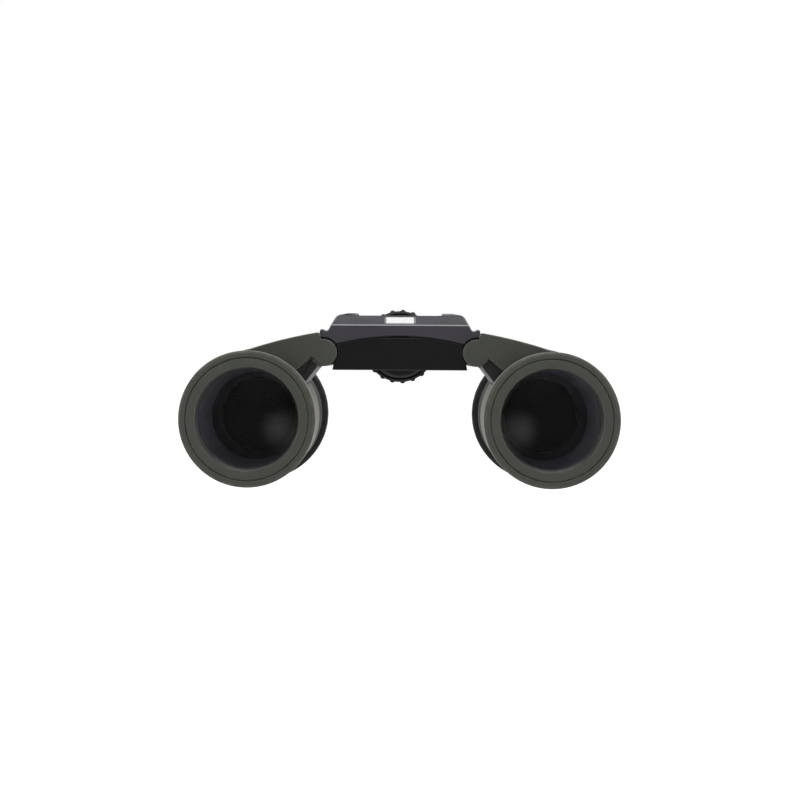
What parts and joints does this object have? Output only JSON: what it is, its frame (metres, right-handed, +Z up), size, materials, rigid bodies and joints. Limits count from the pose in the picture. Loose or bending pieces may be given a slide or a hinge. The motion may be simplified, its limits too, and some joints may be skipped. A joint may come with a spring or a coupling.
{
  "type": "binoculars",
  "caption": "Compact folding roof-prism binoculars: two armoured barrels on hinges either side of a bridge, with centre focus, dioptre ring and twist-up eyecups.",
  "frame": {"origin": "middle of the bottom of the object box, with the barrels fully unfolded and the eyecups lowered", "axes": "+X towards the user's left barrel, +Y from the objectives to the eyepieces, +Z up from the barrels to the bridge"},
  "size_m": [0.1166, 0.104, 0.0456],
  "materials": {
    "armour": "fine matte green-grey rubber",
    "grip": "matte black rubber",
    "casting": "black glass-filled plastic",
    "bridge_plastic": "black, fine texture",
    "cover_plastic": "dark violet-grey, fine texture",
    "black_plastic": "black, satin",
    "black_metal": "matte black anodised",
    "lens_glass": "coated optical glass",
    "prism_glass": "polished optical glass",
    "steel": "ground steel",
    "screw_steel": "blackened steel",
    "brass": "machined brass",
    "nameplate": "white, blank"
  },
  "bodies": {
    "bridge": {"bridge_frame": "casting", "bridge_front_plate": "bridge_plastic", "bridge_top_cover": "cover_plastic", "bridge_bottom_cover": "bridge_plastic", "nameplate": "nameplate", "cover_screws": "screw_steel", "hinge_tubes": "steel", "friction_washers": "brass", "spindle_bushes": "brass"},
    "focus_drive": {"focus_spindle": "steel", "focus_wheel_core": "black_plastic", "focus_wheel_grip": "grip"},
    "focus_yoke": {"focus_yoke": "steel"},
    "left_barrel": {"left_front_bumper": "armour", "left_objective_bezel": "armour", "left_objective_hood": "black_metal", "left_objective_retainer": "black_metal", "left_objective_cell": "black_metal", "left_objective_lenses": "lens_glass", "left_light_baffle": "black_metal", "left_barrel_casting": "casting", "left_front_armour": "armour", "left_rear_armour": "grip", "left_strap_lug": "casting", "left_prism_cage": "black_metal", "left_prisms": "prism_glass", "left_ocular_tube": "black_metal", "left_inspection_plug": "black_plastic", "left_eyepiece_cell": "black_metal", "left_eyepiece_lenses": "lens_glass", "left_ocular_ring": "grip"},
    "right_barrel": {"right_front_bumper": "armour", "right_objective_bezel": "armour", "right_objective_hood": "black_metal", "right_objective_retainer": "black_metal", "right_objective_cell": "black_metal", "right_objective_lenses": "lens_glass", "right_light_baffle": "black_metal", "right_barrel_casting": "casting", "right_front_armour": "armour", "right_rear_armour": "grip", "right_strap_lug": "casting", "right_prism_cage": "black_metal", "right_prisms": "prism_glass", "right_ocular_tube": "black_metal"},
    "left_focus_carrier": {"left_focus_rod": "steel", "left_focus_arm": "black_metal", "left_focus_lens": "lens_glass"},
    "right_focus_carrier": {"right_focus_rod": "steel", "right_focus_arm": "black_metal", "right_focus_lens": "lens_glass"},
    "right_dioptre_ring": {"right_dioptre_ring": "grip"},
    "right_ocular": {"right_eyepiece_cell": "black_metal", "right_eyepiece_lenses": "lens_glass"},
    "left_eyecup_guide": {"left_eyecup_guide": "steel"},
    "right_eyecup_guide": {"right_eyecup_guide": "steel"},
    "left_eyecup": {"left_eyecup_sleeve": "black_plastic", "left_eyecup_rubber": "grip"},
    "right_eyecup": {"right_eyecup_sleeve": "black_plastic", "right_eyecup_rubber": "grip"}
  },
  "joints": [
    {"name": "left_barrel_fold", "type": "hinge", "parent": "bridge", "child": "left_barrel", "pos_m": [0.019, 0, 0.0343], "axis": [0, 1, 0], "range_deg": [0, 50]},
    {"name": "right_barrel_fold", "type": "hinge", "parent": "bridge", "child": "right_barrel", "pos_m": [-0.019, 0, 0.0343], "axis": [0, -1, 0], "range_deg": [0, 50]},
    {"name": "focus_turn", "type": "hinge", "parent": "bridge", "child": "focus_drive", "pos_m": [0, 0, 0.036], "axis": [0, 1, 0], "range_deg": [-300, 300]},
    {"name": "yoke_slide", "type": "slide", "parent": "bridge", "child": "focus_yoke", "axis": [0, 1, 0], "range_m": [-0.0015, 0.0015]},
    {"name": "left_focus_slide", "type": "slide", "parent": "left_barrel", "child": "left_focus_carrier", "axis": [0, 1, 0], "range_m": [-0.0015, 0.0015]},
    {"name": "right_focus_slide", "type": "slide", "parent": "right_barrel", "child": "right_focus_carrier", "axis": [0, 1, 0], "range_m": [-0.0015, 0.0015]},
    {"name": "dioptre_turn", "type": "hinge", "parent": "right_barrel", "child": "right_dioptre_ring", "pos_m": [-0.0375, 0, 0.01785], "axis": [0, 1, 0], "range_deg": [-60, 60]},
    {"name": "dioptre_slide", "type": "slide", "parent": "right_barrel", "child": "right_ocular", "axis": [0, 1, 0], "range_m": [-0.001, 0.001]},
    {"name": "left_eyecup_lift", "type": "slide", "parent": "left_barrel", "child": "left_eyecup_guide", "axis": [0, 1, 0], "range_m": [0, 0.0055]},
    {"name": "left_eyecup_twist", "type": "hinge", "parent": "left_eyecup_guide", "child": "left_eyecup", "pos_m": [0.0375, 0, 0.01785], "axis": [0, 1, 0], "range_deg": [0, 120]},
    {"name": "right_eyecup_lift", "type": "slide", "parent": "right_barrel", "child": "right_eyecup_guide", "axis": [0, 1, 0], "range_m": [0, 0.0055]},
    {"name": "right_eyecup_twist", "type": "hinge", "parent": "right_eyecup_guide", "child": "right_eyecup", "pos_m": [-0.0375, 0, 0.01785], "axis": [0, 1, 0], "range_deg": [0, 120]}
  ],
  "couplings": [
    {"joint": "focus_turn", "follows": "yoke_slide", "rad_per_m": 3490.6},
    {"joint": "left_focus_slide", "follows": "yoke_slide", "ratio": 1},
    {"joint": "right_focus_slide", "follows": "yoke_slide", "ratio": 1},
    {"joint": "dioptre_turn", "follows": "dioptre_slide", "rad_per_m": 1047.1},
    {"joint": "left_eyecup_twist", "follows": "left_eyecup_lift", "rad_per_m": 380.7},
    {"joint": "right_eyecup_twist", "follows": "right_eyecup_lift", "rad_per_m": 380.7}
  ]
}
